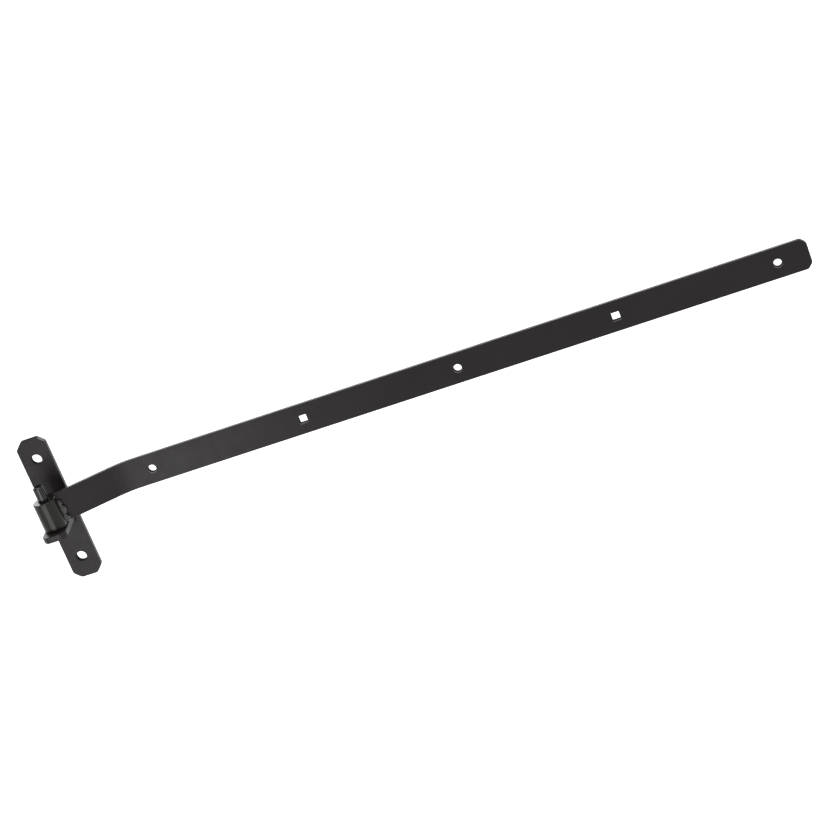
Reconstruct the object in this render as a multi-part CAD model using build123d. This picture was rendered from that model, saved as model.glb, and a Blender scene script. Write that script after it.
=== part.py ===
from build123d import *
import math
import os

# Hook and band hinge for a gate or a barn door, millimetres and degrees.
# The frame: +Z up along the pin, +X from the eye along the strap, -Y out from the post.
# The origin is the middle of the hook plate's back face, which lies on the post.

# Hook plate: a flat bar that stands upright on the post
plate_length = 200.0
plate_width = 40.0
plate_thickness = 8.0
plate_corner_clip = 9.0
plate_hole_spacing = 144.0
plate_hole_diameter = 14.0

# Hook lug: a flat bar that stands out from the plate and carries the pin
lug_width = 32.0
lug_thickness = 8.0
lug_corner_clip = 6.5
lug_drop = 13.0
lug_end_margin = 26.0

# Pin: a round bar through the lug
pin_diameter = 14.0
pin_standoff = 48.0
pin_projection = 20.0
pin_tip_chamfer = 1.5
pin_hole_clearance = 0.05

# Band: a long flat bar, cranked once so that its eye stands off the gate
band_length = 1000.0
strap_width = 40.0
strap_thickness = 6.0
strap_offset = 48.0
strap_corner_clip = 7.0
crank_angle = 20.6
bend_radius = 80.0

# Fixing holes along the strap, round and square in turn
hole_count = 5
first_hole = 134.0
tip_margin = 40.0
round_hole_diameter = 10.5
square_hole_side = 10.5
square_hole_radius = 0.8

# Eye: a thick tube welded to the end of the strap, as long as the strap is wide
eye_diameter = 30.0
eye_forward = 8.0
eye_rim_chamfer = 0.6
pin_running_clearance = 0.10
eye_seat_clearance = 0.30

# Edges of the rolled bar and of the clipped corners
bar_edge_radius = 0.8
corner_radius = 7.0

# Welds
root_gap = 0.10
seat_weld_leg = 6.0
seat_weld_hollow = 0.9
under_weld_leg = 11.0
under_weld_hollow = 2.6
pin_weld_inner_radius = 4.5
pin_weld_width = 7.5
pin_weld_height = 3.2
pin_weld_crown = 2.4
front_bead_radius = 7.2
front_bead_pitch = 4.4
front_bead_top_gap = 5.0
front_bead_lean = 1.2
back_bead_radius = 5.0

# Derived places
plate_front = -plate_thickness
lug_seat = -lug_drop + lug_thickness / 2
lug_under = -lug_drop - lug_thickness / 2
lug_end = -(pin_standoff + lug_end_margin)
pin_radius = pin_diameter / 2
pin_bottom = lug_under
eye_length = strap_width
eye_bottom = lug_seat + eye_seat_clearance
eye_top = eye_bottom + eye_length
pin_top = eye_top + pin_projection
eye_radius = eye_diameter / 2
bore_radius = pin_radius + pin_running_clearance
strap_bottom = eye_bottom
strap_top = strap_bottom + strap_width
strap_middle = (strap_bottom + strap_top) / 2
strap_back = -pin_standoff + strap_offset
strap_mid_y = strap_back - strap_thickness / 2
strap_tip = band_length
hole_pitch = (band_length - first_hole - tip_margin) / (hole_count - 1)

# The cranked run in plan: its direction, and its normal towards the gate
turn = math.radians(crank_angle)
along = Vector(math.cos(turn), math.sin(turn), 0)
behind = Vector(-math.sin(turn), math.cos(turn), 0)
eye_centre = Vector(0, -pin_standoff, 0)
front_offset = eye_forward - strap_thickness / 2
back_offset = eye_forward + strap_thickness / 2
cope_radius = eye_radius + root_gap


def reach_at(offset):
    """Distance along the crank at which a line that far from the eye's middle leaves the coped eye."""
    return math.sqrt(max(0.0, cope_radius ** 2 - offset ** 2))


crank_start = eye_centre + along * min(reach_at(front_offset), reach_at(back_offset)) + behind * eye_forward
bend_run = (strap_mid_y - crank_start.Y) / math.sin(turn)
bend_point = crank_start + along * bend_run
front_root = eye_centre + along * reach_at(front_offset) + behind * front_offset
back_root = eye_centre + along * reach_at(back_offset) + behind * back_offset


def flat_outline(length, width, clip, both_ends):
    """Outline of a flat bar with clipped, slightly rounded corners, length along X."""
    outline = Rectangle(length, width)
    ends = outline.vertices() if both_ends else outline.vertices().group_by(Axis.X)[-1]
    outline = chamfer(ends, clip)
    limit = length / 2 - clip - corner_radius
    clipped = [v for v in outline.vertices() if v.X > limit or (both_ends and v.X < -limit)]
    return fillet(clipped, corner_radius)


def bar_section(width, thickness):
    """Section of a rolled flat bar with its rounded edges."""
    return RectangleRounded(width, thickness, bar_edge_radius)


def weld_fillet(leg, hollow, side, at_z):
    """Hollow fillet weld in the corner of plate and lug, above it (side 1) or below it (side -1)."""
    toe_lug = Vector(0, plate_front - leg, at_z)
    toe_plate = Vector(0, plate_front, at_z + side * leg)
    root = Vector(0, plate_front, at_z)
    chord = (toe_lug + toe_plate) * 0.5
    middle = chord + (root - chord).normalized() * hollow
    lines = Polyline(toe_lug, root, toe_plate) + ThreePointArc(toe_plate, middle, toe_lug)
    length = lug_width - 2 * bar_edge_radius
    return extrude(make_face(lines.edges()), amount=length / 2, dir=(1, 0, 0), both=True)


# Hook plate, upright on the post
plate_bar = extrude(bar_section(plate_width, plate_thickness), amount=plate_length / 2, both=True)
plate_bar = Pos(0, plate_front / 2, 0) * plate_bar
plate_face = Plane(origin=(0, 0, 0), x_dir=(0, 0, 1), z_dir=(0, -1, 0))
plate_cut = plate_face * flat_outline(plate_length, plate_width, plate_corner_clip, True)
hook_plate = plate_bar & extrude(plate_cut, amount=plate_thickness)
plate_holes = GridLocations(plate_hole_spacing, 0, 2, 1)
plate_drill = Sketch() + plate_holes * Circle(plate_hole_diameter / 2)
hook_plate -= extrude(plate_face * plate_drill, amount=plate_thickness)

# Hook lug, with the pin's hole
lug_length = plate_front - lug_end
lug_plane = Plane(origin=(0, plate_front, -lug_drop), x_dir=(1, 0, 0), z_dir=(0, -1, 0))
lug_bar = extrude(lug_plane * bar_section(lug_width, lug_thickness), amount=lug_length)
lug_top = Plane(origin=(0, plate_front - lug_length / 2, lug_under), x_dir=(0, -1, 0), z_dir=(0, 0, 1))
lug_cut = lug_top * flat_outline(lug_length, lug_width, lug_corner_clip, False)
hook_lug = lug_bar & extrude(lug_cut, amount=lug_thickness)
pin_plane = Plane(origin=(0, -pin_standoff, pin_bottom))
hook_lug -= extrude(pin_plane * Circle(pin_radius + pin_hole_clearance), amount=lug_thickness)

# Pin, flush with the lug's underside, chamfered at its tip
hook_pin = extrude(pin_plane * Circle(pin_radius), amount=pin_top - pin_bottom)
hook_pin = chamfer(hook_pin.edges().group_by(Axis.Z)[-1], pin_tip_chamfer)

# Welds of the hook
lug_weld_seat = weld_fillet(seat_weld_leg, seat_weld_hollow, 1, lug_seat)
lug_weld_under = weld_fillet(under_weld_leg, under_weld_hollow, -1, lug_under)
ring_in = Vector(pin_weld_inner_radius, -pin_standoff, lug_under)
ring_out = ring_in + Vector(pin_weld_width, 0, 0)
ring_low = (ring_in + ring_out) * 0.5 - Vector(0, 0, pin_weld_height)
half_crown = Vector(pin_weld_crown / 2, 0, 0)
ring_lines = Polyline(ring_in, ring_out, ring_low + half_crown, ring_low - half_crown, close=True)
pin_axis = Axis((0, -pin_standoff, 0), (0, 0, 1))
pin_weld = revolve(make_face(ring_lines), axis=pin_axis)

# Strap: the bar's section swept along the crank and the long straight run, its end coped to the eye
strap_end = Vector(strap_tip, strap_mid_y, 0)
mid_radius = bend_radius + strap_thickness / 2
strap_path = FilletPolyline(crank_start, bend_point, strap_end, radius=mid_radius)
strap_path = Pos(0, 0, strap_middle) * strap_path
section_plane = Plane(origin=strap_path @ 0, x_dir=behind, z_dir=along)
strap_bar = sweep(section_plane * bar_section(strap_thickness, strap_width), path=strap_path)
strap_face = Plane(origin=(0, 0, strap_middle), x_dir=(1, 0, 0), z_dir=(0, -1, 0))
strap_cut = flat_outline(2 * strap_tip, strap_width, strap_corner_clip, False)
deep = pin_standoff + strap_offset
strap_blank = strap_bar & extrude(strap_face * strap_cut, amount=deep, both=True)
eye_plane = Plane(origin=(0, -pin_standoff, eye_bottom))
strap_blank -= extrude(eye_plane * Circle(cope_radius), amount=strap_width)

# Fixing holes, round and square in turn from the eye
round_hole = Circle(round_hole_diameter / 2)
square_hole = RectangleRounded(square_hole_side, square_hole_side, square_hole_radius)
drill = Sketch()
for index in range(hole_count):
    shape = round_hole if index % 2 == 0 else square_hole
    drill += Pos(first_hole + index * hole_pitch, 0) * shape
band_strap = strap_blank - extrude(strap_face * drill, amount=deep, both=True)

# Eye: a thick tube with a running fit on the pin
band_eye = extrude(eye_plane * (Circle(eye_radius) - Circle(bore_radius)), amount=eye_length)
band_eye = chamfer(band_eye.edges().filter_by(GeomType.CIRCLE), eye_rim_chamfer)

# Weld bead on the front of the eye, built up from overlapping lumps
eye_body = extrude(eye_plane * Circle(eye_radius), amount=eye_length)
bead_reach = 4 * front_bead_radius
bead_run = eye_length - front_bead_top_gap - front_bead_radius
bead_lumps = max(2, round(bead_run / front_bead_pitch))
bead = Part()
for index in range(bead_lumps):
    height = eye_bottom + bead_run * (index + 1) / bead_lumps
    sway = math.sin(2.4 * index)
    lump = front_bead_radius + 0.5 * sway
    place = front_root + along * (0.6 * math.cos(3.1 * index)) - behind * front_bead_lean
    bead += Pos(place.X, place.Y, height) * Sphere(lump)
bead_plane = Plane(origin=(front_root.X, front_root.Y, eye_bottom), x_dir=along, z_dir=(0, 0, 1))
bead_zone = Rectangle(bead_reach, bead_reach, align=(Align.CENTER, Align.MAX))
eye_weld_front = (bead & extrude(bead_plane * bead_zone, amount=eye_length)) - eye_body

# Plain bead on the back of the eye
back_plane = Plane(origin=(back_root.X, back_root.Y, eye_bottom), x_dir=along, z_dir=(0, 0, 1))
back_zone = Rectangle(bead_reach, bead_reach, align=(Align.CENTER, Align.MIN))
back_bead = extrude(back_plane * (Circle(back_bead_radius) & back_zone), amount=eye_length)
eye_weld_back = back_bead - eye_body

nodes = {
    "hook_plate": hook_plate,
    "hook_lug": hook_lug,
    "hook_pin": hook_pin,
    "lug_weld_seat": lug_weld_seat,
    "lug_weld_under": lug_weld_under,
    "pin_weld": pin_weld,
    "band_strap": band_strap,
    "band_eye": band_eye,
    "eye_weld_front": eye_weld_front,
    "eye_weld_back": eye_weld_back,
}

os.makedirs("parts", exist_ok=True)
for name, shape in nodes.items():
    export_step(shape, "parts/" + name + ".step")
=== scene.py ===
import math
import random

import bpy
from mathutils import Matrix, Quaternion, Vector


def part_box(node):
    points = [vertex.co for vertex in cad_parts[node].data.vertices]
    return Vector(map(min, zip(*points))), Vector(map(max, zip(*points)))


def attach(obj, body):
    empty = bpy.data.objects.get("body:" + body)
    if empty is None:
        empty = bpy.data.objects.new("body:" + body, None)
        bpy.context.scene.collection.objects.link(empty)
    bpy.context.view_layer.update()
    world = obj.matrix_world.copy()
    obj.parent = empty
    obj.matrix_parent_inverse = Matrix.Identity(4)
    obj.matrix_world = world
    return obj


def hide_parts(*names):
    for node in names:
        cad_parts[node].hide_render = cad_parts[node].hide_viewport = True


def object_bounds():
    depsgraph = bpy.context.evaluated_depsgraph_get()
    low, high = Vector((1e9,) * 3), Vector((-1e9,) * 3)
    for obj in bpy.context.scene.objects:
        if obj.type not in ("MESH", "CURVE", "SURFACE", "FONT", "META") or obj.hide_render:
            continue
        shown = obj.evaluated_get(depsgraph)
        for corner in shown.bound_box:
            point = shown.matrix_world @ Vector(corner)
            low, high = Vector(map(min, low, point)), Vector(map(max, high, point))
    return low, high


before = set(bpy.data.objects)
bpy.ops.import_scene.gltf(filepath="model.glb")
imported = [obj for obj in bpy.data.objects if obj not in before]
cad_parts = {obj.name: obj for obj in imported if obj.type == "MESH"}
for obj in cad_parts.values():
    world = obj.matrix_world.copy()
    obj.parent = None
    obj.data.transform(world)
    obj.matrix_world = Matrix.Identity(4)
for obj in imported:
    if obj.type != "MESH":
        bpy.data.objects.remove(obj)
CAD_BOX = [list(corner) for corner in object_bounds()]

bl_info = {
    "name": "Hook and band hinge",
    "version": (1, 0, 0),
    "blender": (4, 5, 0),
    "location": "View3D > Sidebar > Hinge",
    "description": "Black coated gate hinge: a cranked strap with a welded eye on a welded hook",
    "category": "Object",
}

# Places read from the solids, in metres
EYE_LOW, EYE_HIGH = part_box("band_eye")
RING_LOW, RING_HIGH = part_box("pin_weld")
SEAT_LOW, SEAT_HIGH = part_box("lug_weld_seat")
UNDER_LOW, UNDER_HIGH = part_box("lug_weld_under")
FRONT_BEAD_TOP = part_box("eye_weld_front")[1].z
UP = Vector((0, 0, 1))
EYE_CENTRE = (EYE_LOW + EYE_HIGH) / 2
EYE_RADIUS = (EYE_HIGH.x - EYE_LOW.x) / 2

# Looks of the coats: roughness from and to, strength of gloss, width of clouds, strength of dimples
BAR_LOOK = {"shine": (0.34, 0.46), "gloss": 0.21, "cloud_size": 0.012, "dimple": 0.50}
EYE_LOOK = {"shine": (0.20, 0.30), "gloss": 0.21, "cloud_size": 0.014, "dimple": 0.08}
PIN_LOOK = {"shine": (0.12, 0.20), "gloss": 0.30, "cloud_size": 0.008, "dimple": 0.05}
BEAD_LOOK = {"shine": (0.10, 0.20), "gloss": 0.58, "cloud_size": 0.005, "dimple": 0.12}
FILLET_LOOK = {"shine": (0.28, 0.40), "gloss": 0.23, "cloud_size": 0.006, "dimple": 0.30}

# Uneven coat: darkest and palest shares of its colour, the noise levels between, and a dimple's depth
DARK_SHARE, PALE_SHARE = 0.72, 1.30
NOISE_LOW, NOISE_HIGH = 0.30, 0.70
CLOUDS_IN_GLOSS = 0.55
PEEL_IN_HEIGHT = 0.45
DIMPLE_DEPTH = 0.0004

# Thin edges: how far the rounded normal turns, as a cosine, and the noise that breaks the edge up
EDGE_STARTS, EDGE_FULL = 0.995, 0.86
BREAK_LOW, BREAK_HIGH = 0.38, 0.62
BREAK_LEAST = 0.15
BEVEL_SAMPLES = 4

# Holes: half width of their strip, reach and upward turn of their rims, which take a painted highlight, and
# what counts as a wall
HOLE_STRIP = 0.012
RIM_REACH = 0.0024
RIM_STARTS, RIM_FULL = 0.08, 0.28
WALL_FACING = 0.6
WALL_ROUGHNESS = 1.0

# Sockets of a mix node, by number: its factor, its two values, and its two colours and their mix
MIX_FACTOR = 0
VALUE_A, VALUE_B = 2, 3
COLOUR_A, COLOUR_B, COLOUR_OUT = 6, 7, 2

# Melting of weld lumps into a bead
LUMP_DETAIL = 3
MELT_FACTOR = 0.5
SHADE_ANGLE = math.radians(50)

# Front bead of the eye: room at its foot and head in radii of a lump, and rounds of melting
EYE_SEED = 11
FRONT_FOOT, FRONT_HEAD = 0.5, 0.65
FRONT_MELT = 12

# Its lumps: spread of their size, sway along the strap and out of it in metres, leans, step and shape
FRONT_SPREAD = (0.84, 1.08)
FRONT_SWAY = (-0.0006, 0.0022)
FRONT_STAND = (0.0002, 0.0014)
FRONT_LEANS = ((-0.3, 0.3), (-0.1, 0.6), (-0.25, 0.25))
FRONT_STEP = (0.7, 1.3)
FRONT_SHAPE = (1.06, 0.88, 0.62)

# Back bead of the eye, in the same way, with its foot in steps between lumps
BACK_FOOT = 0.5
BACK_MELT = 8
BACK_SPREAD = (0.90, 1.04)
BACK_SWAY = (-0.0003, 0.0006)
BACK_LEANS = ((-0.1, 0.1), (0.20, 0.50))
BACK_STEP = (0.8, 1.2)
BACK_SHAPE = (1.0, 0.96, 0.62)

# Fillets of the lug: their side of it, their hollow, and how they run out at their ends, in degrees
ABOVE_LUG, BELOW_LUG = 1, -1
SEAT_HOLLOW, UNDER_HOLLOW = 0.20, 0.12
HOLLOW_STEPS = 14
RUN_OUT_SHARE = 0.40
RUN_OUT_ANGLES = (25, 45, 62, 76, 86)
END_FACING = 0.9
TOUCH = 1e-5

# Their ripples: length in steps, spread of their size, tilt and turn in radians, and spread of the step
SEAT_SEED, UNDER_SEED = 3, 7
RIPPLE_LENGTH = 0.8
RIPPLE_SPREAD = (0.92, 1.06)
RIPPLE_TILT = (-0.15, 0.15)
RIPPLE_TURN = (0.10, 0.35)
RIPPLE_STEP = (0.85, 1.2)
FILLET_MELT = 12

# Ring of weld at the pin's foot: half width of a lump as a share of the ring's radius, and the lumps' spread
RING_SEED = 5
RING_ACROSS = 0.31
RING_STRAY = (-0.3, 0.3)
RING_REACH = (0.95, 1.0)
RING_WIDTH = (0.90, 1.0)
RING_LENGTH = 0.85
RING_DEPTH = (0.84, 0.98)
RING_LEAN = (0.15, 0.4)
RING_MELT = 7

# Stage: the floor's width and the light that it adds where it is seen, and the camera's sensor and range
FLOOR_WIDTH = 60.0
FLOOR_LIFT = 0.55
SENSOR_WIDTH = 36.0
CAMERA_RANGE = 100.0

# Soft boxes: place from the point that each faces, then width and height, in metres
KEY_BOX = ((-0.4, -0.7, 2.2), (1.8, 1.6))
LEFT_BOX = ((-0.030, -0.552, -0.217), (0.30, 0.20))
EYE_BOX = ((-0.255, -0.506, -0.211), (0.08, 0.20))
RIGHT_BOX = ((1.60, -0.80, 0.15), (0.50, 0.80))
BACK_BOX = ((-0.37, 1.92, 0.82), (2.2, 0.8))


class FinishSettings(bpy.types.PropertyGroup):
    """Colours and surface sizes of the black finishes."""

    coat_colour: bpy.props.FloatVectorProperty(
        name="Coat", description="Black coat on the flat bars",
        subtype="COLOR", size=3, min=0, max=1, default=(0.0076, 0.0052, 0.0058),
    )
    thin_colour: bpy.props.FloatVectorProperty(
        name="Thin coat", description="Coat where it runs thin along an edge",
        subtype="COLOR", size=3, min=0, max=1, default=(0.022, 0.022, 0.021),
    )
    # Painted highlight: a pale colour laid on the upturned rims of the strap's holes, standing in for the
    # light that they catch.
    rim_highlight_colour: bpy.props.FloatVectorProperty(
        name="Hole rims", description="Rubbed coat on the upturned rims of the strap's holes",
        subtype="COLOR", size=3, min=0, max=1, default=(0.190, 0.186, 0.180),
    )
    tube_colour: bpy.props.FloatVectorProperty(
        name="Eye coat", description="Coat on the eye, a little greener than on the bars",
        subtype="COLOR", size=3, min=0, max=1, default=(0.0056, 0.0060, 0.0042),
    )
    weld_colour: bpy.props.FloatVectorProperty(
        name="Weld coat", description="Coat over the weld beads",
        subtype="COLOR", size=3, min=0, max=1, default=(0.0066, 0.0068, 0.0052),
    )
    pin_colour: bpy.props.FloatVectorProperty(
        name="Pin", description="Glossy black on the pin",
        subtype="COLOR", size=3, min=0, max=1, default=(0.003, 0.003, 0.003),
    )
    patch_size: bpy.props.FloatProperty(
        name="Patches", description="Width of the broad uneven patches in the coat",
        unit="LENGTH", default=0.070,
    )
    peel_size: bpy.props.FloatProperty(
        name="Peel", description="Width of the fine dimples in the coat",
        unit="LENGTH", default=0.0016,
    )
    edge_reach: bpy.props.FloatProperty(
        name="Edge reach", description="How far the thin coat reaches from an edge",
        unit="LENGTH", default=0.0011,
    )


class WeldSettings(bpy.types.PropertyGroup):
    """Sizes of the weld beads."""

    crank_angle: bpy.props.FloatProperty(
        name="Crank", description="Angle between the strap's cranked end and its straight run",
        subtype="ANGLE", default=math.radians(20.6),
    )
    front_setback: bpy.props.FloatProperty(
        name="Front setback", description="Strap's front face behind the eye's middle",
        unit="LENGTH", default=0.005,
    )
    back_setback: bpy.props.FloatProperty(
        name="Back setback", description="Strap's back face behind the eye's middle",
        unit="LENGTH", default=0.011,
    )
    front_lump: bpy.props.FloatProperty(
        name="Front lump", description="Radius of a lump in the bead on the eye's front",
        unit="LENGTH", default=0.0072,
    )
    front_pitch: bpy.props.FloatProperty(
        name="Front pitch", description="Step between lumps in the bead on the eye's front",
        unit="LENGTH", default=0.0036,
    )
    back_lump: bpy.props.FloatProperty(
        name="Back lump", description="Radius of a lump in the bead on the eye's back",
        unit="LENGTH", default=0.0050,
    )
    back_pitch: bpy.props.FloatProperty(
        name="Back pitch", description="Step between lumps in the bead on the eye's back",
        unit="LENGTH", default=0.0030,
    )
    seat_ripple: bpy.props.FloatProperty(
        name="Seat ripple", description="Reach of a ripple from the root of the weld above the lug",
        unit="LENGTH", default=0.0049,
    )
    under_ripple: bpy.props.FloatProperty(
        name="Under ripple", description="Reach of a ripple from the root of the weld below the lug",
        unit="LENGTH", default=0.0067,
    )
    fillet_pitch: bpy.props.FloatProperty(
        name="Fillet pitch", description="Step between ripples in the welds of the lug",
        unit="LENGTH", default=0.0030,
    )
    ring_lumps: bpy.props.IntProperty(
        name="Ring lumps", description="Lumps in the ring of weld round the pin's foot", default=21,
    )
    bury: bpy.props.FloatProperty(
        name="Bury", description="How deep a weld reaches into the bar that it joins",
        unit="LENGTH", default=0.0005,
    )
    voxel: bpy.props.FloatProperty(
        name="Voxel", description="Mesh size of the fused beads", unit="LENGTH", default=0.00032,
    )


class StageSettings(bpy.types.PropertyGroup):
    """Camera, floor and light."""

    azimuth: bpy.props.FloatProperty(
        name="Azimuth", description="Camera's turn round the upright, towards the strap's tip",
        subtype="ANGLE", default=math.radians(10.95),
    )
    elevation: bpy.props.FloatProperty(
        name="Elevation", description="Camera's height above the strap",
        subtype="ANGLE", default=math.radians(20.4),
    )
    roll: bpy.props.FloatProperty(
        name="Roll", description="Camera's turn about its own line of sight",
        subtype="ANGLE", default=math.radians(-21.92),
    )
    distance: bpy.props.FloatProperty(
        name="Distance", description="From the camera to the point it looks at",
        unit="LENGTH", default=3.154,
    )
    lens: bpy.props.FloatProperty(
        name="Lens", description="Focal length in millimetres on a 36 mm sensor", default=109.7,
    )
    look_at: bpy.props.FloatVectorProperty(
        name="Look at", description="Point in the middle of the picture",
        subtype="TRANSLATION", size=3, default=(0.4745, -0.0072, -0.0281),
    )
    floor_drop: bpy.props.FloatProperty(
        name="Floor drop", description="Floor's depth under the lowest edge of the hook plate",
        unit="LENGTH", default=0.25,
    )
    floor_colour: bpy.props.FloatVectorProperty(
        name="Floor", description="Pale floor",
        subtype="COLOR", size=3, min=0, max=1, default=(0.82, 0.82, 0.82),
    )
    sky_level: bpy.props.FloatProperty(
        name="Sky level", description="Strength of the even light from all round", default=0.55,
    )
    key_power: bpy.props.FloatProperty(
        name="Key", description="Power of the large soft lamp overhead", default=40.0,
    )
    left_power: bpy.props.FloatProperty(
        name="Left box", description="Power of the soft box that shines on the strap's near end",
        default=0.94,
    )
    eye_power: bpy.props.FloatProperty(
        name="Eye box", description="Power of the slim soft box that draws a streak on the eye",
        default=0.26,
    )
    back_power: bpy.props.FloatProperty(
        name="Back box", description="Power of the soft box behind, which lights the upper edges",
        default=18.0,
    )
    right_power: bpy.props.FloatProperty(
        name="Right box", description="Power of the soft box that stands past the strap's tip",
        default=3.0,
    )


def add_node(tree, kind, values=None, **settings):
    """A shader node with its settings, and its constant inputs by name or number."""
    made = tree.nodes.new(kind)
    for key, value in settings.items():
        setattr(made, key, value)
    for key, value in (values or {}).items():
        made.inputs[key].default_value = value
    return made


def add_range(tree, low, high, to_low=0.0, to_high=1.0):
    """A node that maps one range of values to another and stops at its ends."""
    values = {"From Min": low, "From Max": high, "To Min": to_low, "To Max": to_high}
    return add_node(tree, "ShaderNodeMapRange", values)


def new_group(name, inputs, outputs, normal=None):
    """An empty shader node group with number sockets, a normal's socket if named, and its end nodes."""
    tree = bpy.data.node_groups.new(name, "ShaderNodeTree")
    for label, value in inputs.items():
        socket = tree.interface.new_socket(label, in_out="INPUT", socket_type="NodeSocketFloat")
        socket.default_value = value
    for label in outputs:
        tree.interface.new_socket(label, in_out="OUTPUT", socket_type="NodeSocketFloat")
    if normal:
        tree.interface.new_socket(normal, in_out="OUTPUT", socket_type="NodeSocketVector")
    return tree, tree.nodes.new("NodeGroupInput"), tree.nodes.new("NodeGroupOutput")


def coat_grain_group():
    """Uneven coat: broad patches, cloudy gloss and the fine dimples of sprayed paint."""
    sizes = {"Patch Size": 0.07, "Cloud Size": 0.012, "Peel Size": 0.0016}
    tree, start, end = new_group("coat_grain", sizes, ("Shade", "Gloss", "Height"))
    place = add_node(tree, "ShaderNodeTexCoord")
    noises = []
    for label, detail in (("Patch Size", 3.0), ("Cloud Size", 5.0), ("Peel Size", 2.0)):
        scale = add_node(tree, "ShaderNodeMath", {0: 1.0}, operation="DIVIDE")
        tree.links.new(start.outputs[label], scale.inputs[1])
        noise = add_node(tree, "ShaderNodeTexNoise", {"Detail": detail, "Roughness": 0.55})
        tree.links.new(place.outputs["Object"], noise.inputs["Vector"])
        tree.links.new(scale.outputs[0], noise.inputs["Scale"])
        noises.append(noise)
    patches, clouds, peel = noises
    gloss = add_node(tree, "ShaderNodeMix", {MIX_FACTOR: CLOUDS_IN_GLOSS}, data_type="FLOAT")
    tree.links.new(patches.outputs["Fac"], gloss.inputs[VALUE_A])
    tree.links.new(clouds.outputs["Fac"], gloss.inputs[VALUE_B])
    height = add_node(tree, "ShaderNodeMix", {MIX_FACTOR: PEEL_IN_HEIGHT}, data_type="FLOAT")
    tree.links.new(clouds.outputs["Fac"], height.inputs[VALUE_A])
    tree.links.new(peel.outputs["Fac"], height.inputs[VALUE_B])
    tree.links.new(patches.outputs["Fac"], end.inputs["Shade"])
    tree.links.new(gloss.outputs[0], end.inputs["Gloss"])
    tree.links.new(height.outputs[0], end.inputs["Height"])
    return tree


def thin_edge_group():
    """Soft edges: their rounded normal, and a broken mask of where the coat runs thin along them."""
    sizes = {"Reach": 0.001, "Break Size": 0.006}
    tree, start, end = new_group("thin_edge", sizes, ("Edge",), normal="Rounded")
    place = add_node(tree, "ShaderNodeTexCoord")
    rounded = add_node(tree, "ShaderNodeBevel", samples=BEVEL_SAMPLES)
    flat = add_node(tree, "ShaderNodeNewGeometry")
    facing = add_node(tree, "ShaderNodeVectorMath", operation="DOT_PRODUCT")
    turned = add_range(tree, EDGE_STARTS, EDGE_FULL)
    scale = add_node(tree, "ShaderNodeMath", {0: 1.0}, operation="DIVIDE")
    breaks = add_node(tree, "ShaderNodeTexNoise", {"Detail": 4.0, "Roughness": 0.6})
    worn = add_range(tree, BREAK_LOW, BREAK_HIGH, BREAK_LEAST)
    edge = add_node(tree, "ShaderNodeMath", operation="MULTIPLY")
    tree.links.new(start.outputs["Reach"], rounded.inputs["Radius"])
    tree.links.new(rounded.outputs["Normal"], facing.inputs[0])
    tree.links.new(flat.outputs["Normal"], facing.inputs[1])
    tree.links.new(facing.outputs["Value"], turned.inputs[0])
    tree.links.new(start.outputs["Break Size"], scale.inputs[1])
    tree.links.new(place.outputs["Object"], breaks.inputs["Vector"])
    tree.links.new(scale.outputs[0], breaks.inputs["Scale"])
    tree.links.new(breaks.outputs["Fac"], worn.inputs[0])
    tree.links.new(turned.outputs[0], edge.inputs[0])
    tree.links.new(worn.outputs[0], edge.inputs[1])
    tree.links.new(edge.outputs[0], end.inputs["Edge"])
    tree.links.new(rounded.outputs["Normal"], end.inputs["Rounded"])
    return tree


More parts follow.
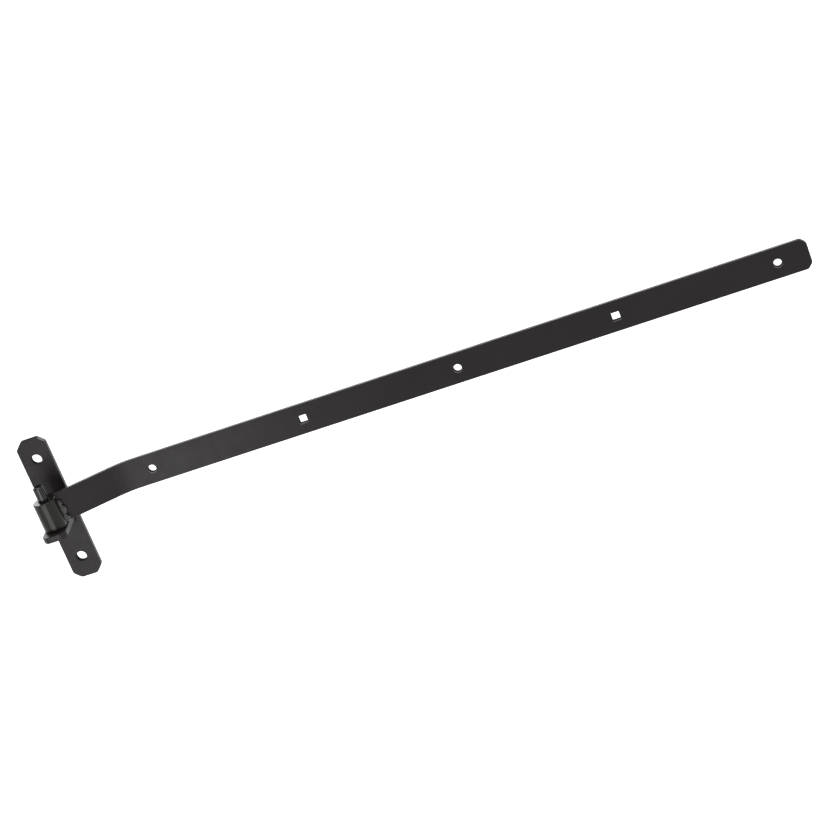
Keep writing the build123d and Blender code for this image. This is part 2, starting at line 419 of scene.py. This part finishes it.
def hole_wall_group():
    """Masks near a bar's middle line: walls of its holes and cut end, and the holes' upturned rims, where a
    highlight is painted.
    """
    sizes = {"X Share": 0.0, "Z Share": 1.0, "Middle": 0.0, "Reach": 0.01, "Rim": 0.0}
    tree, start, end = new_group("hole_wall", sizes, ("Wall", "Rim Highlight"))
    place = add_node(tree, "ShaderNodeTexCoord")
    spot = add_node(tree, "ShaderNodeSeparateXYZ")
    facing = add_node(tree, "ShaderNodeSeparateXYZ")
    tree.links.new(place.outputs["Object"], spot.inputs[0])
    tree.links.new(place.outputs["Normal"], facing.inputs[0])
    along_x = add_node(tree, "ShaderNodeMath", operation="MULTIPLY")
    across = add_node(tree, "ShaderNodeMath", operation="MULTIPLY_ADD")
    offset = add_node(tree, "ShaderNodeMath", operation="SUBTRACT")
    side = add_node(tree, "ShaderNodeMath", operation="ABSOLUTE")
    near = add_node(tree, "ShaderNodeMath", operation="LESS_THAN")
    tilt = add_node(tree, "ShaderNodeMath", operation="ABSOLUTE")
    edgeways = add_node(tree, "ShaderNodeMath", {1: WALL_FACING}, operation="LESS_THAN")
    wall = add_node(tree, "ShaderNodeMath", operation="MULTIPLY")
    tree.links.new(spot.outputs["X"], along_x.inputs[0])
    tree.links.new(start.outputs["X Share"], along_x.inputs[1])
    tree.links.new(spot.outputs["Z"], across.inputs[0])
    tree.links.new(start.outputs["Z Share"], across.inputs[1])
    tree.links.new(along_x.outputs[0], across.inputs[2])
    tree.links.new(across.outputs[0], offset.inputs[0])
    tree.links.new(start.outputs["Middle"], offset.inputs[1])
    tree.links.new(offset.outputs[0], side.inputs[0])
    tree.links.new(side.outputs[0], near.inputs[0])
    tree.links.new(start.outputs["Reach"], near.inputs[1])
    tree.links.new(facing.outputs["Y"], tilt.inputs[0])
    tree.links.new(tilt.outputs[0], edgeways.inputs[0])
    tree.links.new(near.outputs[0], wall.inputs[0])
    tree.links.new(edgeways.outputs[0], wall.inputs[1])
    tree.links.new(wall.outputs[0], end.inputs["Wall"])
    # Rims of the holes that turn upward, where a pale colour is painted as a highlight.
    rounded = add_node(tree, "ShaderNodeBevel", samples=BEVEL_SAMPLES)
    lift = add_node(tree, "ShaderNodeSeparateXYZ")
    upturned = add_range(tree, RIM_STARTS, RIM_FULL)
    face = add_node(tree, "ShaderNodeMath", operation="SUBTRACT")
    rim = add_node(tree, "ShaderNodeMath", operation="MULTIPLY")
    tree.links.new(start.outputs["Rim"], rounded.inputs["Radius"])
    tree.links.new(rounded.outputs["Normal"], lift.inputs[0])
    tree.links.new(lift.outputs["Z"], upturned.inputs[0])
    tree.links.new(near.outputs[0], face.inputs[0])
    tree.links.new(wall.outputs[0], face.inputs[1])
    tree.links.new(face.outputs[0], rim.inputs[0])
    tree.links.new(upturned.outputs[0], rim.inputs[1])
    tree.links.new(rim.outputs[0], end.inputs["Rim Highlight"])
    return tree


def shared_group(name, make):
    """The node group of that name, made the first time that it is asked for."""
    return bpy.data.node_groups.get(name) or make()


def coat_material(name, colour, shine, gloss, cloud_size, dimple, edges=True, holes=None):
    """Black coat over steel in one of the looks above, with thin edges, and with dull hole walls and a
    painted highlight on the holes' upturned rims where asked.
    """
    finish = bpy.context.scene.hinge_finish
    material = bpy.data.materials.new(name)
    material.use_nodes = True
    tree = material.node_tree
    surface = tree.nodes["Principled BSDF"]
    surface.inputs["Specular IOR Level"].default_value = gloss
    grain = add_node(tree, "ShaderNodeGroup", node_tree=shared_group("coat_grain", coat_grain_group))
    grain.inputs["Patch Size"].default_value = finish.patch_size
    grain.inputs["Cloud Size"].default_value = cloud_size
    grain.inputs["Peel Size"].default_value = finish.peel_size
    dark = [DARK_SHARE * part for part in colour] + [1.0]
    pale = [PALE_SHARE * part for part in colour] + [1.0]
    tint = add_node(tree, "ShaderNodeMix", {COLOUR_A: dark, COLOUR_B: pale}, data_type="RGBA")
    spread = add_range(tree, NOISE_LOW, NOISE_HIGH)
    tree.links.new(grain.outputs["Shade"], spread.inputs["Value"])
    tree.links.new(spread.outputs[0], tint.inputs[MIX_FACTOR])
    rough = add_range(tree, NOISE_LOW, NOISE_HIGH, *shine)
    tree.links.new(grain.outputs["Gloss"], rough.inputs["Value"])
    tree.links.new(rough.outputs[0], surface.inputs["Roughness"])
    bump = add_node(tree, "ShaderNodeBump", {"Strength": dimple, "Distance": DIMPLE_DEPTH})
    tree.links.new(grain.outputs["Height"], bump.inputs["Height"])
    tree.links.new(bump.outputs["Normal"], surface.inputs["Normal"])
    last = tint.outputs[COLOUR_OUT]
    if edges:
        wear = add_node(tree, "ShaderNodeGroup", node_tree=shared_group("thin_edge", thin_edge_group))
        wear.inputs["Reach"].default_value = finish.edge_reach
        thin = add_node(tree, "ShaderNodeMix", {COLOUR_B: [*finish.thin_colour, 1.0]}, data_type="RGBA")
        tree.links.new(last, thin.inputs[COLOUR_A])
        tree.links.new(wear.outputs["Edge"], thin.inputs[MIX_FACTOR])
        tree.links.new(wear.outputs["Rounded"], bump.inputs["Normal"])
        last = thin.outputs[COLOUR_OUT]
    if holes:
        masks = add_node(tree, "ShaderNodeGroup", node_tree=shared_group("hole_wall", hole_wall_group))
        for label, value in holes.items():
            masks.inputs[label].default_value = value
        dull = add_node(tree, "ShaderNodeMix", {VALUE_B: WALL_ROUGHNESS}, data_type="FLOAT")
        tree.links.new(masks.outputs["Wall"], dull.inputs[MIX_FACTOR])
        tree.links.new(rough.outputs[0], dull.inputs[VALUE_A])
        tree.links.new(dull.outputs[0], surface.inputs["Roughness"])
        # Painted highlight: the holes' upturned rims are mixed toward a pale colour that stands in for the
        # light they catch.
        painted_rim_highlight = add_node(tree, "ShaderNodeMix", {COLOUR_B: [*finish.rim_highlight_colour, 1.0]}, data_type="RGBA")
        tree.links.new(last, painted_rim_highlight.inputs[COLOUR_A])
        tree.links.new(masks.outputs["Rim Highlight"], painted_rim_highlight.inputs[MIX_FACTOR])
        last = painted_rim_highlight.outputs[COLOUR_OUT]
    tree.links.new(last, surface.inputs["Base Color"])
    return material


def dress(node, material):
    """Gives a CAD node its finish through its material slots."""
    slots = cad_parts[node].material_slots
    if not slots:
        raise RuntimeError(node + " has no material slot")
    for slot in slots:
        slot.material = material


def deselect_all():
    """Nothing stays selected before a new piece is modelled."""
    if bpy.context.object and bpy.context.object.mode != "OBJECT":
        bpy.ops.object.mode_set(mode="OBJECT")
    bpy.ops.object.select_all(action="DESELECT")


def add_lump(place, size, turn):
    """One lump of weld metal: a sphere stretched to its three half sizes and turned."""
    deselect_all()
    bpy.ops.mesh.primitive_ico_sphere_add(
        subdivisions=LUMP_DETAIL, radius=1.0, location=place, rotation=turn, scale=size,
    )
    bpy.ops.object.transform_apply(location=True, rotation=True, scale=True)
    return bpy.context.object


def add_modifier(piece, kind, **settings):
    """Adds a modifier with its settings and applies it."""
    modifier = piece.modifiers.new(kind.lower(), kind)
    for key, value in settings.items():
        setattr(modifier, key, value)
    bpy.context.view_layer.objects.active = piece
    bpy.ops.object.modifier_apply(modifier=modifier.name)


def fuse(name, parts, melt):
    """Joins overlapping lumps and melts them into one closed bead, with that many rounds of smoothing."""
    welds = bpy.context.scene.hinge_welds
    deselect_all()
    for part in parts:
        part.select_set(True)
    bpy.context.view_layer.objects.active = parts[0]
    if len(parts) > 1:
        bpy.ops.object.join()
    piece = bpy.context.object
    piece.name = name
    piece.data.name = name
    add_modifier(piece, "REMESH", mode="VOXEL", voxel_size=welds.voxel)
    add_modifier(piece, "SMOOTH", factor=MELT_FACTOR, iterations=melt)
    return piece


def trim(piece, point, normal):
    """Cuts off all of a piece that lies past a plane, and closes the cut."""
    deselect_all()
    piece.select_set(True)
    bpy.context.view_layer.objects.active = piece
    bpy.ops.object.mode_set(mode="EDIT")
    bpy.ops.mesh.select_all(action="SELECT")
    bpy.ops.mesh.bisect(plane_co=point, plane_no=normal, use_fill=True, clear_outer=True)
    bpy.ops.object.mode_set(mode="OBJECT")


def complete(piece, body, node, material):
    """Smooth shading, finish, body and the CAD node that the piece stands for."""
    deselect_all()
    piece.select_set(True)
    bpy.context.view_layer.objects.active = piece
    bpy.ops.object.shade_smooth_by_angle(angle=SHADE_ANGLE)
    piece.data.materials.clear()
    piece.data.materials.append(material)
    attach(piece, body)
    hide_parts(node)


def bead_material():
    """Shiny finish of the beads on the eye, made once."""
    finish = bpy.context.scene.hinge_finish
    ready = bpy.data.materials.get("coated_bead")
    return ready or coat_material("coated_bead", finish.weld_colour, edges=False, **BEAD_LOOK)


def fillet_material():
    """Duller finish of the welds on the hook, made once."""
    finish = bpy.context.scene.hinge_finish
    ready = bpy.data.materials.get("coated_fillet")
    return ready or coat_material("coated_fillet", finish.coat_colour, edges=False, **FILLET_LOOK)


class HINGE_OT_bar_finish(bpy.types.Operator):
    """Black coat on the strap, the hook plate and the lug"""

    bl_idname = "hinge.bar_finish"
    bl_label = "Finish the flat bars"

    def execute(self, context):
        coat = context.scene.hinge_finish.coat_colour
        lying = {
            "X Share": 0.0, "Z Share": 1.0, "Middle": EYE_CENTRE.z,
            "Reach": HOLE_STRIP, "Rim": RIM_REACH,
        }
        upright = {"X Share": 1.0, "Z Share": 0.0, "Middle": 0.0, "Reach": HOLE_STRIP}
        dress("band_strap", coat_material("strap_coat", coat, holes=lying, **BAR_LOOK))
        dress("hook_plate", coat_material("plate_coat", coat, holes=upright, **BAR_LOOK))
        dress("hook_lug", coat_material("lug_coat", coat, **BAR_LOOK))
        return {"FINISHED"}


class HINGE_OT_round_finish(bpy.types.Operator):
    """Coat on the eye and gloss black on the pin"""

    bl_idname = "hinge.round_finish"
    bl_label = "Finish the eye and the pin"

    def execute(self, context):
        finish = context.scene.hinge_finish
        dress("band_eye", coat_material("eye_coat", finish.tube_colour, **EYE_LOOK))
        dress("hook_pin", coat_material("pin_gloss", finish.pin_colour, **PIN_LOOK))
        return {"FINISHED"}


class HINGE_OT_eye_beads(bpy.types.Operator):
    """Lumpy weld beads that join the eye to the strap, front and back"""

    bl_idname = "hinge.eye_beads"
    bl_label = "Weld the eye"

    def execute(self, context):
        welds = context.scene.hinge_welds
        turn = welds.crank_angle
        along = Vector((math.cos(turn), math.sin(turn), 0))
        behind = Vector((-math.sin(turn), math.cos(turn), 0))
        foot = Vector((EYE_CENTRE.x, EYE_CENTRE.y, EYE_LOW.z))
        front_root, back_root = (
            foot + behind * setback + along * math.sqrt(EYE_RADIUS ** 2 - setback ** 2)
            for setback in (welds.front_setback, welds.back_setback)
        )
        hand = random.Random(EYE_SEED)

        lumps = []
        height = welds.front_lump * FRONT_FOOT
        top = FRONT_BEAD_TOP - EYE_LOW.z - welds.front_lump * FRONT_HEAD
        while height < top:
            size = welds.front_lump * hand.uniform(*FRONT_SPREAD)
            sway = along * hand.uniform(*FRONT_SWAY) - behind * hand.uniform(*FRONT_STAND)
            pitch, roll, yaw = [hand.uniform(*lean) for lean in FRONT_LEANS]
            shape = [size * share for share in FRONT_SHAPE]
            lumps.append(add_lump(front_root + sway + UP * height, shape, (pitch, roll, turn + yaw)))
            height += welds.front_pitch * hand.uniform(*FRONT_STEP)
        front = fuse("eye_bead_front", lumps, FRONT_MELT)
        trim(front, front_root + behind * welds.bury, behind)
        trim(front, UP * EYE_LOW.z, -UP)
        complete(front, "band", "eye_weld_front", bead_material())

        lumps = []
        height = welds.back_pitch * BACK_FOOT
        while height < EYE_HIGH.z - EYE_LOW.z:
            size = welds.back_lump * hand.uniform(*BACK_SPREAD)
            sway = along * hand.uniform(*BACK_SWAY)
            pitch, roll = [hand.uniform(*lean) for lean in BACK_LEANS]
            shape = [size * share for share in BACK_SHAPE]
            lumps.append(add_lump(back_root + sway + UP * height, shape, (pitch, roll, turn)))
            height += welds.back_pitch * hand.uniform(*BACK_STEP)
        back = fuse("eye_bead_back", lumps, BACK_MELT)
        trim(back, back_root - behind * welds.bury, -behind)
        trim(back, UP * EYE_LOW.z, -UP)
        trim(back, UP * EYE_HIGH.z, UP)
        complete(back, "band", "eye_weld_back", bead_material())
        return {"FINISHED"}


def add_fillet(name, low, high, side, hollow, ripple, seed):
    """Hollow fillet of weld in the corner of plate and lug, run out at both ends and rippled between."""
    welds = bpy.context.scene.hinge_welds
    leg = high.y - low.y
    run_out = leg * RUN_OUT_SHARE
    root_height = low.z - welds.bury if side == ABOVE_LUG else high.z + welds.bury
    root = Vector((0, high.y + welds.bury, root_height))
    block = Vector((high.x - low.x - 2 * run_out, leg + welds.bury, leg + welds.bury))
    middle = root + Vector((0, -block.y / 2, side * block.z / 2))
    deselect_all()
    bpy.ops.mesh.primitive_cube_add(size=1.0, location=middle, scale=block)
    bpy.ops.object.transform_apply(location=True, rotation=True, scale=True)
    fillet = bpy.context.object
    free_edge = middle + Vector((0, -block.y / 2, side * block.z / 2))
    bpy.ops.object.mode_set(mode="EDIT")
    bpy.ops.mesh.select_all(action="DESELECT")
    bpy.ops.object.mode_set(mode="OBJECT")
    for edge in fillet.data.edges:
        gaps = [fillet.data.vertices[index].co - free_edge for index in edge.vertices]
        edge.select = all(abs(gap.y) < TOUCH and abs(gap.z) < TOUCH for gap in gaps)
    bpy.ops.object.mode_set(mode="EDIT")
    bpy.ops.mesh.bevel(
        offset=leg, offset_type="OFFSET", segments=HOLLOW_STEPS, profile=hollow, affect="EDGES",
    )
    for way in (-1, 1):
        bpy.ops.mesh.select_all(action="DESELECT")
        bpy.ops.object.mode_set(mode="OBJECT")
        for face in fillet.data.polygons:
            face.select = face.normal.x * way > END_FACING
        bpy.ops.object.mode_set(mode="EDIT")
        before = 0.0
        for angle in map(math.radians, RUN_OUT_ANGLES):
            step = way * run_out * (math.sin(angle) - math.sin(before))
            shrink = math.cos(angle) / math.cos(before)
            bpy.ops.mesh.extrude_region_move(TRANSFORM_OT_translate={"value": (step, 0, 0)})
            bpy.ops.transform.resize(value=(1, shrink, shrink), center_override=root)
            before = angle
    bpy.ops.object.mode_set(mode="OBJECT")
    hand = random.Random(seed)
    parts = [fillet]
    reach = low.x + run_out
    while reach < high.x - run_out:
        size = ripple * hand.uniform(*RIPPLE_SPREAD)
        turn = (0, hand.uniform(*RIPPLE_TILT), hand.uniform(*RIPPLE_TURN))
        shape = (welds.fillet_pitch * RIPPLE_LENGTH, size, size)
        parts.append(add_lump(root + Vector((reach, 0, 0)), shape, turn))
        reach += welds.fillet_pitch * hand.uniform(*RIPPLE_STEP)
    return fuse(name, parts, FILLET_MELT)


class HINGE_OT_lug_fillets(bpy.types.Operator):
    """Fillet welds that join the lug to the hook plate, above and below"""

    bl_idname = "hinge.lug_fillets"
    bl_label = "Weld the lug"

    def execute(self, context):
        welds = context.scene.hinge_welds
        seat = add_fillet(
            "lug_fillet_seat", SEAT_LOW, SEAT_HIGH, ABOVE_LUG, SEAT_HOLLOW, welds.seat_ripple, SEAT_SEED,
        )
        complete(seat, "hook", "lug_weld_seat", fillet_material())
        under = add_fillet(
            "lug_fillet_under", UNDER_LOW, UNDER_HIGH, BELOW_LUG, UNDER_HOLLOW,
            welds.under_ripple, UNDER_SEED,
        )
        complete(under, "hook", "lug_weld_under", fillet_material())
        return {"FINISHED"}


class HINGE_OT_pin_ring(bpy.types.Operator):
    """Ring of weld round the foot of the pin, under the lug"""

    bl_idname = "hinge.pin_ring"
    bl_label = "Weld the pin"

    def execute(self, context):
        welds = context.scene.hinge_welds
        hand = random.Random(RING_SEED)
        middle = (RING_LOW + RING_HIGH) / 2
        outer = (RING_HIGH.x - RING_LOW.x) / 2
        depth = RING_HIGH.z - RING_LOW.z
        across = outer * RING_ACROSS
        lumps = []
        for index in range(welds.ring_lumps):
            angle = math.tau * (index + hand.uniform(*RING_STRAY)) / welds.ring_lumps
            reach = (outer - across) * hand.uniform(*RING_REACH)
            x, y = middle.x + reach * math.cos(angle), middle.y + reach * math.sin(angle)
            width = across * hand.uniform(*RING_WIDTH)
            shape = (width, across * RING_LENGTH, depth * hand.uniform(*RING_DEPTH))
            lumps.append(add_lump((x, y, RING_HIGH.z), shape, (hand.uniform(*RING_LEAN), 0, angle)))
        ring = fuse("pin_ring", lumps, RING_MELT)
        trim(ring, UP * (RING_HIGH.z + welds.bury), UP)
        complete(ring, "hook", "pin_weld", fillet_material())
        return {"FINISHED"}


def seen_directly(tree):
    """One for rays that show a surface as it is: from the camera, in a gloss, or through glass."""
    path = add_node(tree, "ShaderNodeLightPath")
    sharp = add_node(tree, "ShaderNodeMath", operation="MAXIMUM")
    any_of = add_node(tree, "ShaderNodeMath", operation="MAXIMUM")
    tree.links.new(path.outputs["Is Camera Ray"], sharp.inputs[0])
    tree.links.new(path.outputs["Is Glossy Ray"], sharp.inputs[1])
    tree.links.new(sharp.outputs[0], any_of.inputs[0])
    tree.links.new(path.outputs["Is Transmission Ray"], any_of.inputs[1])
    return any_of.outputs[0]


def floor_material(colour):
    """Pale floor that takes light and shade, lifted to white where it is seen."""
    material = bpy.data.materials.new("pale_floor")
    material.use_nodes = True
    tree = material.node_tree
    tree.nodes.remove(tree.nodes["Principled BSDF"])
    end = tree.nodes["Material Output"]
    paint = add_node(tree, "ShaderNodeBsdfDiffuse", {"Color": [*colour, 1.0]})
    lift = add_node(tree, "ShaderNodeEmission", {"Color": (1, 1, 1, 1)})
    both = add_node(tree, "ShaderNodeAddShader")
    level = add_node(tree, "ShaderNodeMath", {1: FLOOR_LIFT}, operation="MULTIPLY")
    tree.links.new(seen_directly(tree), level.inputs[0])
    tree.links.new(level.outputs[0], lift.inputs["Strength"])
    tree.links.new(paint.outputs[0], both.inputs[0])
    tree.links.new(lift.outputs[0], both.inputs[1])
    tree.links.new(both.outputs[0], end.inputs["Surface"])
    return material


def add_lamp(name, target, box, power):
    """A soft box that faces a point, with its place from there, its width and its height."""
    offset, size = box
    place = target + Vector(offset)
    lamp = bpy.data.lights.new(name, "AREA")
    lamp.shape = "RECTANGLE"
    lamp.size, lamp.size_y = size
    lamp.energy = power
    holder = bpy.data.objects.new(name, lamp)
    bpy.context.scene.collection.objects.link(holder)
    holder.location = place
    holder.rotation_mode = "QUATERNION"
    holder.rotation_quaternion = (target - place).to_track_quat("-Z", "Y")
    holder.visible_camera = False


class HINGE_OT_stage(bpy.types.Operator):
    """Pale floor, even sky, soft lamps and the camera"""

    bl_idname = "hinge.stage"
    bl_label = "Set the stage"

    def execute(self, context):
        scene = context.scene
        stage = scene.hinge_stage
        scene.view_settings.view_transform = "Standard"
        middle = (Vector(CAD_BOX[0]) + Vector(CAD_BOX[1])) / 2

        deselect_all()
        floor_height = CAD_BOX[0][2] - stage.floor_drop
        bpy.ops.mesh.primitive_plane_add(size=FLOOR_WIDTH, location=(middle.x, middle.y, floor_height))
        floor = bpy.context.object
        floor.name = "floor"
        floor.data.materials.append(floor_material(stage.floor_colour))

        world = bpy.data.worlds.new("even_sky")
        scene.world = world
        world.use_nodes = True
        tree = world.node_tree
        sky = tree.nodes["Background"]
        sky.inputs["Color"].default_value = (1, 1, 1, 1)
        level = add_range(tree, 0.0, 1.0, stage.sky_level, 1.0)
        tree.links.new(seen_directly(tree), level.inputs["Value"])
        tree.links.new(level.outputs[0], sky.inputs["Strength"])

        add_lamp("key", middle, KEY_BOX, stage.key_power)
        add_lamp("left_box", EYE_CENTRE, LEFT_BOX, stage.left_power)
        add_lamp("eye_box", EYE_CENTRE, EYE_BOX, stage.eye_power)
        add_lamp("right_box", middle, RIGHT_BOX, stage.right_power)
        add_lamp("back_box", middle, BACK_BOX, stage.back_power)

        around, up = stage.azimuth, stage.elevation
        back = Vector((math.sin(around) * math.cos(up), -math.cos(around) * math.cos(up), math.sin(up)))
        lens = bpy.data.cameras.new("camera")
        lens.sensor_width = SENSOR_WIDTH
        lens.lens = stage.lens
        lens.clip_end = CAMERA_RANGE
        camera = bpy.data.objects.new("camera", lens)
        scene.collection.objects.link(camera)
        camera.location = Vector(stage.look_at) + back * stage.distance
        camera.rotation_mode = "QUATERNION"
        level_turn = (-back).to_track_quat("-Z", "Y")
        camera.rotation_quaternion = level_turn @ Quaternion((0, 0, 1), stage.roll)
        scene.camera = camera
        return {"FINISHED"}


class HINGE_PT_panel(bpy.types.Panel):
    """Steps that dress the hinge, in order"""

    bl_idname = "HINGE_PT_panel"
    bl_label = "Hook and band hinge"
    bl_space_type = "VIEW_3D"
    bl_region_type = "UI"
    bl_category = "Hinge"

    def draw(self, context):
        for settings in (context.scene.hinge_finish, context.scene.hinge_welds, context.scene.hinge_stage):
            box = self.layout.box()
            for key in settings.__annotations__:
                box.prop(settings, key)
        for step in STEPS:
            self.layout.operator(step.bl_idname)


STEPS = (
    HINGE_OT_bar_finish,
    HINGE_OT_round_finish,
    HINGE_OT_eye_beads,
    HINGE_OT_lug_fillets,
    HINGE_OT_pin_ring,
    HINGE_OT_stage,
)
CLASSES = (FinishSettings, WeldSettings, StageSettings, *STEPS, HINGE_PT_panel)


def register():
    """Registers the classes and hangs the settings on the scene."""
    for kind in CLASSES:
        bpy.utils.register_class(kind)
    bpy.types.Scene.hinge_finish = bpy.props.PointerProperty(type=FinishSettings)
    bpy.types.Scene.hinge_welds = bpy.props.PointerProperty(type=WeldSettings)
    bpy.types.Scene.hinge_stage = bpy.props.PointerProperty(type=StageSettings)


def unregister():
    """Takes the settings off the scene and unregisters the classes."""
    del bpy.types.Scene.hinge_stage
    del bpy.types.Scene.hinge_welds
    del bpy.types.Scene.hinge_finish
    for kind in reversed(CLASSES):
        bpy.utils.unregister_class(kind)


def main():
    """Dresses the hinge step by step."""
    register()
    bpy.ops.hinge.bar_finish()
    bpy.ops.hinge.round_finish()
    bpy.ops.hinge.eye_beads()
    bpy.ops.hinge.lug_fillets()
    bpy.ops.hinge.pin_ring()
    bpy.ops.hinge.stage()
    bpy.context.view_layer.update()


if __name__ == "__main__":
    main()
